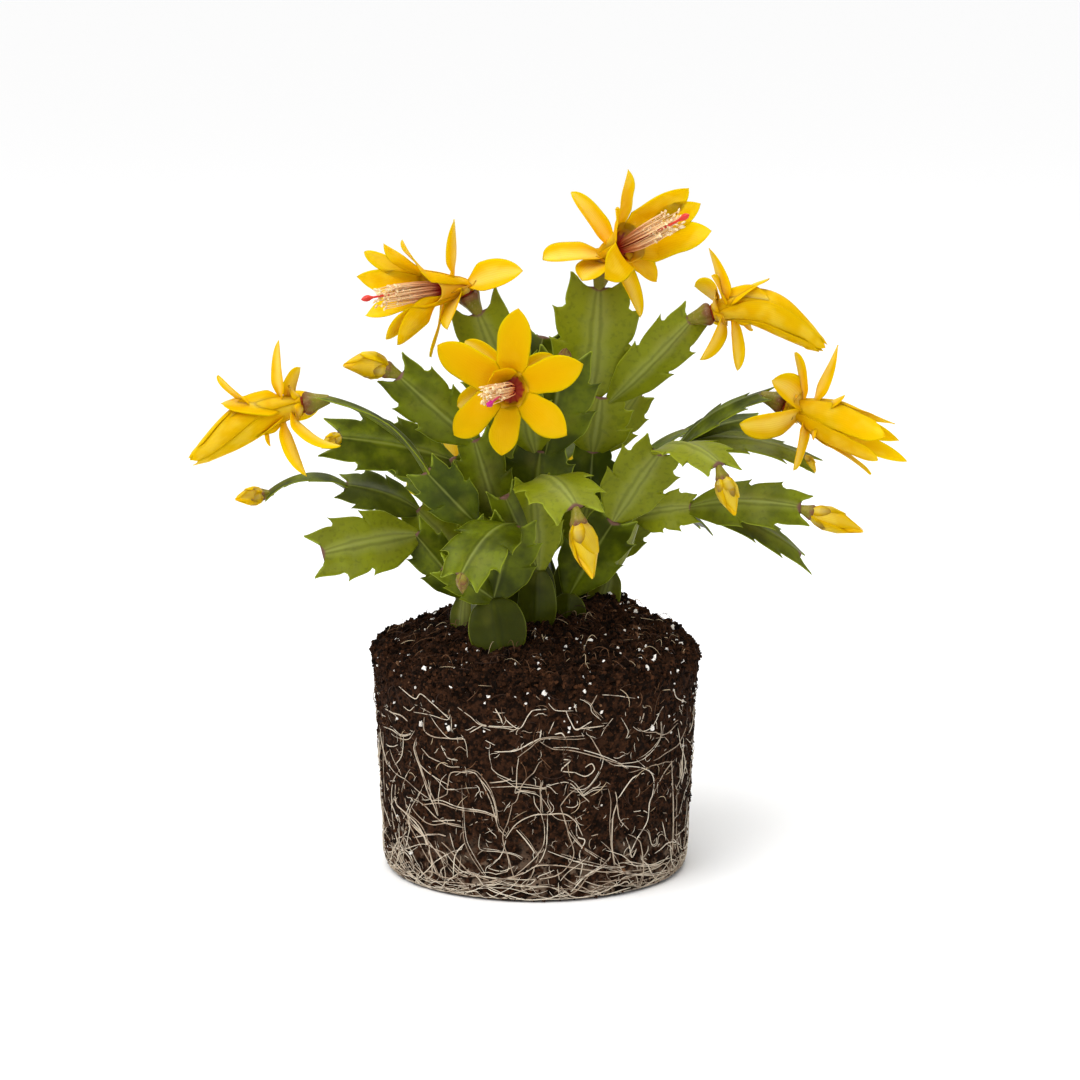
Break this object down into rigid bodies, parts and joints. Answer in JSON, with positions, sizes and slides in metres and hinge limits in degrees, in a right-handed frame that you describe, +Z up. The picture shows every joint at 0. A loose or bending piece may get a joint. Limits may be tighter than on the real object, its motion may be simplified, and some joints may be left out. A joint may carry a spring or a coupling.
{
  "type": "christmas cactus with bare root ball",
  "caption": "Yellow-flowered Christmas cactus lifted out of its pot: a round root ball moulded by the pot, toothed flat stem joints in arching chains, and trumpet-shaped blooms at their ends.",
  "frame": {"origin": "middle of the root ball's flat underside", "axes": "+Z up along the root ball, +X to the right of the plant seen from its front, -Y towards the viewer, where the open star-shaped bloom faces"},
  "size_m": [0.2701, 0.2113, 0.2712],
  "materials": {
    "soil": "matte",
    "stem": "satin",
    "petal": "satin",
    "ovary": "satin",
    "stamen": "matte",
    "style": "satin"
  },
  "bodies": {
    "root": {"root_ball": "soil", "stem_front_left": "stem", "stem_left_low": "stem", "stem_front_centre": "stem", "stem_right_centre": "stem", "stem_right_low": "stem", "stem_right_high": "stem", "stem_right_upright": "stem", "stem_centre": "stem", "stem_left_upright": "stem", "stem_left_middle": "stem", "stem_left_arching": "stem", "stem_left_back": "stem", "stem_left_trailing": "stem", "stem_back_centre": "stem", "stem_back_left": "stem", "stem_back_right": "stem", "stem_back_upright": "stem", "ovary_left": "ovary", "bloom_left": "petal", "ovary_upper_left": "ovary", "bloom_upper_left": "petal", "stamens_upper_left": "stamen", "style_upper_left": "style", "ovary_top": "ovary", "bloom_top": "petal", "stamens_top": "stamen", "style_top": "style", "ovary_front": "ovary", "bloom_front": "petal", "stamens_front": "stamen", "style_front": "style", "ovary_upper_right": "ovary", "bloom_upper_right": "petal", "ovary_right": "ovary", "bloom_right": "petal", "ovary_back_centre": "ovary", "bloom_back_centre": "petal", "ovary_back_left": "ovary", "bloom_back_left": "petal", "bud_base_left_high": "ovary", "bud_left_high": "petal", "bud_base_left_low": "ovary", "bud_left_low": "petal", "bud_base_front": "ovary", "bud_front": "petal", "bud_base_right_front": "ovary", "bud_right_front": "petal", "bud_base_right_low": "ovary", "bud_right_low": "petal", "small_bud_left_back": "petal", "small_bud_right_back": "petal", "small_bud_front_left": "petal", "small_bud_centre": "petal"}
  },
  "joints": []
}
